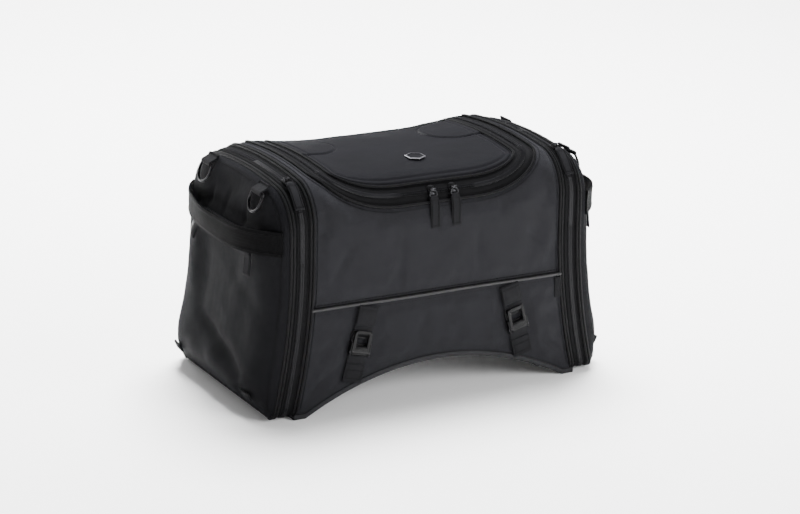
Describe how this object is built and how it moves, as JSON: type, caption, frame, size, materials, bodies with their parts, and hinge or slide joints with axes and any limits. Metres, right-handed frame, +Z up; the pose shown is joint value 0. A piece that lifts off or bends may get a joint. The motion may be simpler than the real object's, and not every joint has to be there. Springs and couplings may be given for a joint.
{
  "type": "motorcycle tail bag",
  "caption": "Soft motorcycle tail bag with an arched base, zipped lid, zipped expanding ends, side handles, lashing rings and buckled front straps.",
  "frame": {"origin": "on the floor under the middle of the bag", "axes": "+X along the bag to its right-hand end, -Y to the front with the two buckled straps, +Z up"},
  "size_m": [0.5058, 0.2727, 0.2976],
  "materials": {
    "nylon": "black ballistic nylon weave",
    "moulded": "smooth black moulded panel",
    "webbing": "black webbing",
    "piping": "black piping",
    "reflective": "grey reflective piping",
    "zip": "black coil zip tape",
    "metal": "black coated metal",
    "board": "black stiffening board",
    "badge": "plain satin badge"
  },
  "bodies": {
    "bag": {"base_board": "board", "base_panel": "nylon", "buckle_frame_left": "metal", "buckle_frame_right": "metal", "end_piping_left": "piping", "end_piping_right": "piping", "expansion_tape_left": "zip", "expansion_tape_right": "zip", "front_lower_panel": "nylon", "main_shell": "nylon", "opening_piping": "piping", "opening_zip_tape": "zip", "reflective_piping": "reflective", "seam_label": "webbing", "strap_lower_left": "webbing", "strap_lower_right": "webbing", "strap_upper_left": "webbing", "strap_upper_right": "webbing"},
    "lid": {"lid_panel": "moulded", "lid_zip_tape": "zip", "lid_piping": "piping", "lid_badge": "badge"},
    "lid_slider_left": {"lid_left_slider": "metal"},
    "lid_pull_left": {"lid_left_pull": "metal"},
    "expansion_slider_left": {"expansion_left_slider": "metal"},
    "expansion_pull_left": {"expansion_left_pull": "metal"},
    "side_left": {"side_panel_left": "nylon", "side_tape_left": "zip", "side_piping_left": "piping", "gusset_left": "nylon", "ring_tab_left_front": "webbing", "ring_tab_left_rear": "webbing", "handle_left": "webbing", "pocket_zip_left": "zip", "corner_loop_left_front": "webbing", "corner_loop_left_rear": "webbing"},
    "ring_left_front": {"d_ring_left_front": "metal"},
    "ring_left_rear": {"d_ring_left_rear": "metal"},
    "pocket_slider_left": {"pocket_left_slider": "metal"},
    "pocket_pull_left": {"pocket_left_pull": "metal"},
    "lever_left": {"buckle_lever_left": "metal"},
    "lid_slider_right": {"lid_right_slider": "metal"},
    "lid_pull_right": {"lid_right_pull": "metal"},
    "expansion_slider_right": {"expansion_right_slider": "metal"},
    "expansion_pull_right": {"expansion_right_pull": "metal"},
    "side_right": {"side_panel_right": "nylon", "side_tape_right": "zip", "side_piping_right": "piping", "gusset_right": "nylon", "ring_tab_right_front": "webbing", "ring_tab_right_rear": "webbing", "handle_right": "webbing", "pocket_zip_right": "zip", "corner_loop_right_front": "webbing", "corner_loop_right_rear": "webbing"},
    "ring_right_front": {"d_ring_right_front": "metal"},
    "ring_right_rear": {"d_ring_right_rear": "metal"},
    "pocket_slider_right": {"pocket_right_slider": "metal"},
    "pocket_pull_right": {"pocket_right_pull": "metal"},
    "lever_right": {"buckle_lever_right": "metal"}
  },
  "joints": [
    {"name": "lid_hinge", "type": "hinge", "parent": "bag", "child": "lid", "pos_m": [0, 0.0915, 0.2885], "axis": [-1, 0, 0], "range_deg": [0, 110]},
    {"name": "lid_slider_left_slide", "type": "slide", "parent": "lid", "child": "lid_slider_left", "axis": [-1, 0, 0], "range_m": [0, 0.028]},
    {"name": "lid_pull_left_swing", "type": "hinge", "parent": "lid_slider_left", "child": "lid_pull_left", "pos_m": [-0.008, -0.12278, 0.26624], "axis": [-1, 0, 0], "range_deg": [0, 110]},
    {"name": "side_left_expand", "type": "slide", "parent": "bag", "child": "side_left", "axis": [-1, 0, 0], "range_m": [0, 0.05]},
    {"name": "expansion_slider_left_travel", "type": "hinge", "parent": "bag", "child": "expansion_slider_left", "pos_m": [-0.1877, -0.0774, 0.234], "axis": [1, 0, 0], "range_deg": [0, 30]},
    {"name": "expansion_pull_left_swing", "type": "hinge", "parent": "expansion_slider_left", "child": "expansion_pull_left", "pos_m": [-0.1877, -0.08544, 0.29124], "axis": [-1, 0, 0], "range_deg": [0, 110]},
    {"name": "ring_left_front_swing", "type": "hinge", "parent": "side_left", "child": "ring_left_front", "pos_m": [-0.21842, -0.072, 0.2745], "axis": [0, 1, 0], "range_deg": [0, 90]},
    {"name": "ring_left_rear_swing", "type": "hinge", "parent": "side_left", "child": "ring_left_rear", "pos_m": [-0.21842, 0.072, 0.2745], "axis": [0, 1, 0], "range_deg": [0, 90]},
    {"name": "pocket_slider_left_travel", "type": "hinge", "parent": "side_left", "child": "pocket_slider_left", "pos_m": [0.11277, -0.03579, 0.2145], "axis": [0, 0, -1], "range_deg": [0, 9.9]},
    {"name": "pocket_pull_left_swing", "type": "hinge", "parent": "pocket_slider_left", "child": "pocket_pull_left", "pos_m": [-0.23826, -0.08607, 0.21522], "axis": [-0.1736, 0.9848, 0], "range_deg": [0, 8]},
    {"name": "lever_left_open", "type": "hinge", "parent": "bag", "child": "lever_left", "pos_m": [-0.11266, -0.13702, 0.07541], "axis": [0.9703, -0.0031, -0.2419], "range_deg": [0, 90]},
    {"name": "lid_slider_right_slide", "type": "slide", "parent": "lid", "child": "lid_slider_right", "axis": [1, 0, 0], "range_m": [0, 0.028]},
    {"name": "lid_pull_right_swing", "type": "hinge", "parent": "lid_slider_right", "child": "lid_pull_right", "pos_m": [0.0215, -0.12278, 0.26624], "axis": [-1, 0, 0], "range_deg": [0, 110]},
    {"name": "side_right_expand", "type": "slide", "parent": "bag", "child": "side_right", "axis": [1, 0, 0], "range_m": [0, 0.05]},
    {"name": "expansion_slider_right_travel", "type": "hinge", "parent": "bag", "child": "expansion_slider_right", "pos_m": [0.1877, -0.0774, 0.234], "axis": [1, 0, 0], "range_deg": [0, 30]},
    {"name": "expansion_pull_right_swing", "type": "hinge", "parent": "expansion_slider_right", "child": "expansion_pull_right", "pos_m": [0.1877, -0.08544, 0.29124], "axis": [-1, 0, 0], "range_deg": [0, 110]},
    {"name": "ring_right_front_swing", "type": "hinge", "parent": "side_right", "child": "ring_right_front", "pos_m": [0.21842, -0.072, 0.2745], "axis": [0, -1, 0], "range_deg": [0, 90]},
    {"name": "ring_right_rear_swing", "type": "hinge", "parent": "side_right", "child": "ring_right_rear", "pos_m": [0.21842, 0.072, 0.2745], "axis": [0, -1, 0], "range_deg": [0, 90]},
    {"name": "pocket_slider_right_travel", "type": "hinge", "parent": "side_right", "child": "pocket_slider_right", "pos_m": [-0.11277, -0.03579, 0.2145], "axis": [0, 0, 1], "range_deg": [0, 9.9]},
    {"name": "pocket_pull_right_swing", "type": "hinge", "parent": "pocket_slider_right", "child": "pocket_pull_right", "pos_m": [0.23826, -0.08607, 0.21522], "axis": [-0.1736, -0.9848, 0], "range_deg": [0, 8]},
    {"name": "lever_right_open", "type": "hinge", "parent": "bag", "child": "lever_right", "pos_m": [0.11266, -0.13702, 0.07541], "axis": [0.9703, 0.0031, 0.2419], "range_deg": [0, 90]}
  ]
}
